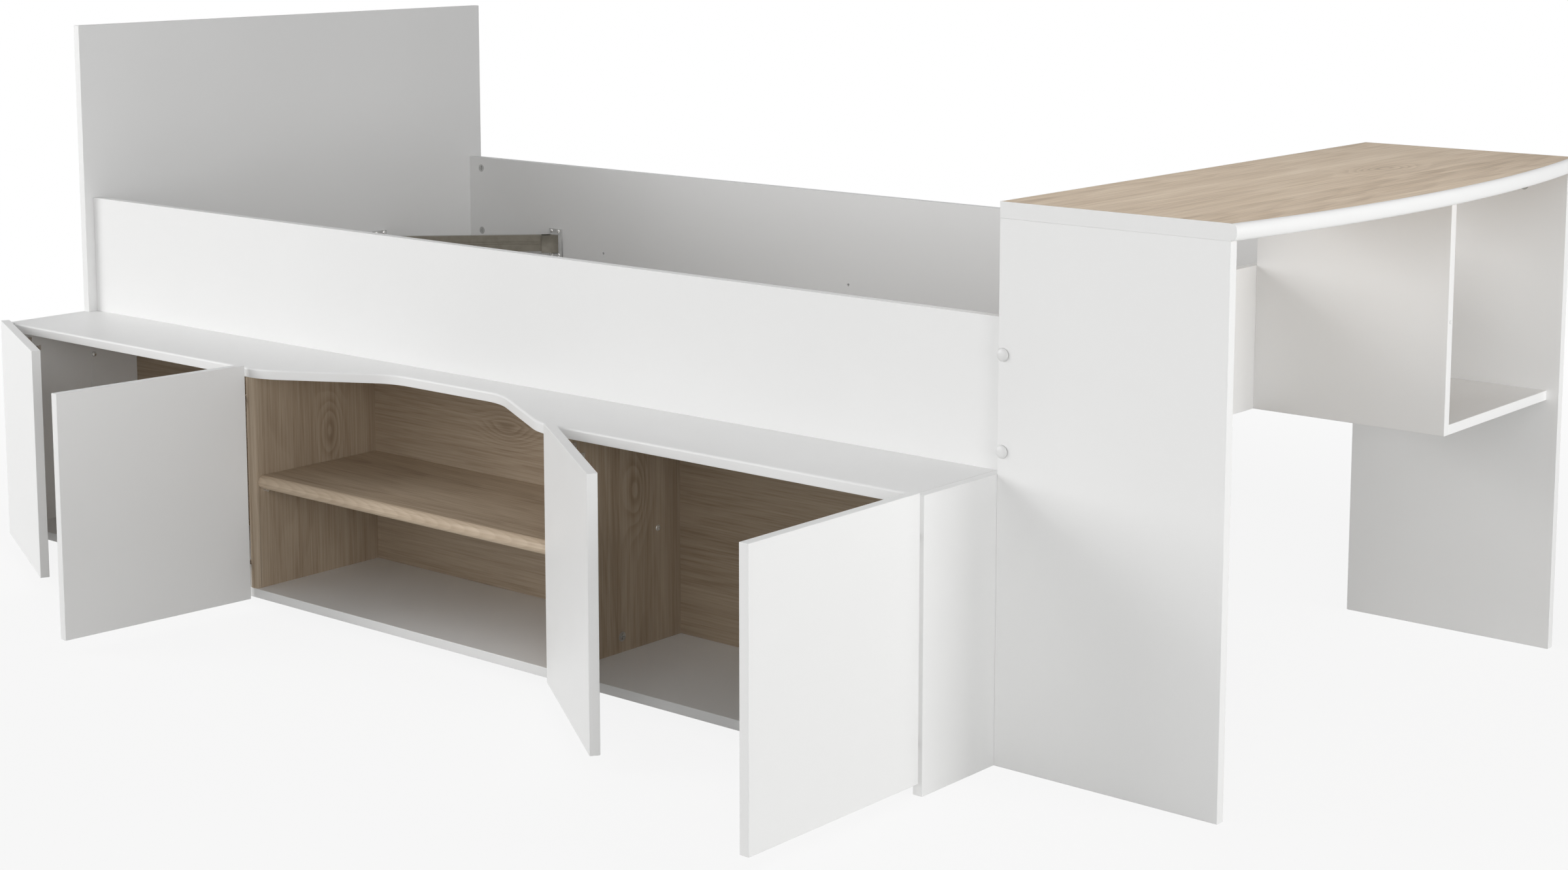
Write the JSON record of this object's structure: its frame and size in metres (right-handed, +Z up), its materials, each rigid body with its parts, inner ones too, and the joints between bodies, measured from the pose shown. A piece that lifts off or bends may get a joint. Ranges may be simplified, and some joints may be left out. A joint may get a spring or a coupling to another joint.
{
  "type": "cabin bed",
  "caption": "Low single cabin bed with a doored storage cabinet along its front and a bow-fronted desk across its foot end.",
  "frame": {"origin": "bottom centre of the whole bed's box at rest, with its doors open as pictured, on the floor", "axes": "+X along the bed from the headboard to the desk, +Y from the cabinet side to the back, +Z up"},
  "size_m": [2.4339, 1.512, 0.92],
  "materials": {
    "white_board": "white melamine foil on particle board, satin",
    "oak_board": "light oak foil on particle board, satin",
    "white_edging": "white rounded edging, satin",
    "brace_metal": "olive grey paint, satin",
    "steel": "nickel plated",
    "zinc": "die-cast zinc, bare",
    "white_plastic": "white plastic, satin",
    "beech": "bare beech"
  },
  "bodies": {
    "root": {"headboard": "white_board", "footboard": "white_board", "front_rail": "white_board", "back_rail": "white_board", "brace_head_front": "brace_metal", "brace_head_back": "brace_metal", "brace_foot_front": "brace_metal", "brace_foot_back": "brace_metal", "brace_brackets": "brace_metal", "brace_screws": "steel", "desk_side_front": "white_board", "desk_side_back": "white_board", "desk_top": "oak_board", "desk_front_edging": "white_edging", "desk_side_edging": "white_edging", "desk_niche_wall": "white_board", "desk_niche_shelf": "white_board", "desk_bolts": "steel", "desk_barrel_nuts": "steel", "bolt_caps": "white_plastic", "cabinet_top": "white_board", "cabinet_bottom": "white_board", "cabinet_end_left": "white_board", "cabinet_end_right": "white_board", "divider_left": "oak_board", "divider_right": "oak_board", "cabinet_back": "oak_board", "niche_shelf": "oak_board", "shelf_pins": "steel", "shelf_screws": "steel", "rail_cams": "zinc", "rail_cam_bolts": "steel", "cabinet_cams": "zinc", "cabinet_cam_bolts": "steel", "desk_cams": "zinc", "desk_cam_bolts": "steel", "dowels": "beech", "hinge_arms": "steel", "hinge_arm_screws": "steel"},
    "door_1": {"door_1": "white_board", "hinge_cups_1": "steel", "cup_screws_1": "steel"},
    "door_2": {"door_2": "white_board", "hinge_cups_2": "steel", "cup_screws_2": "steel"},
    "door_3": {"door_3": "white_board", "hinge_cups_3": "steel", "cup_screws_3": "steel"},
    "door_4": {"door_4": "white_board", "hinge_cups_4": "steel", "cup_screws_4": "steel"},
    "strap_1": {"hinge_straps_1": "steel"},
    "strap_2": {"hinge_straps_2": "steel"},
    "strap_3": {"hinge_straps_3": "steel"},
    "strap_4": {"hinge_straps_4": "steel"}
  },
  "joints": [
    {"name": "door_1_hinge", "type": "hinge", "parent": "root", "child": "door_1", "pos_m": [-1.21255, -0.424, 0.213], "axis": [0, 0, -1], "range_deg": [-25, 80]},
    {"name": "door_2_hinge", "type": "hinge", "parent": "root", "child": "door_2", "pos_m": [-0.54555, -0.424, 0.213], "axis": [0, 0, 1], "range_deg": [-85, 20]},
    {"name": "door_3_hinge", "type": "hinge", "parent": "root", "child": "door_3", "pos_m": [0.14845, -0.424, 0.213], "axis": [0, 0, -1], "range_deg": [-35, 70]},
    {"name": "door_4_hinge", "type": "hinge", "parent": "root", "child": "door_4", "pos_m": [0.81545, -0.424, 0.213], "axis": [0, 0, 1], "range_deg": [-90, 15]},
    {"name": "strap_1_slide", "type": "slide", "parent": "root", "child": "strap_1", "axis": [0, -1, 0], "range_m": [-0.00526, 0.01681]},
    {"name": "strap_2_slide", "type": "slide", "parent": "root", "child": "strap_2", "axis": [0, -1, 0], "range_m": [-0.01786, 0.00421]},
    {"name": "strap_3_slide", "type": "slide", "parent": "root", "child": "strap_3", "axis": [0, -1, 0], "range_m": [-0.00736, 0.01471]},
    {"name": "strap_4_slide", "type": "slide", "parent": "root", "child": "strap_4", "axis": [0, -1, 0], "range_m": [-0.01891, 0.00316]}
  ],
  "couplings": [
    {"joint": "strap_1_slide", "follows": "door_1_hinge", "m_per_rad": 0.012036},
    {"joint": "strap_2_slide", "follows": "door_2_hinge", "m_per_rad": 0.012036},
    {"joint": "strap_3_slide", "follows": "door_3_hinge", "m_per_rad": 0.012036},
    {"joint": "strap_4_slide", "follows": "door_4_hinge", "m_per_rad": 0.012036}
  ]
}
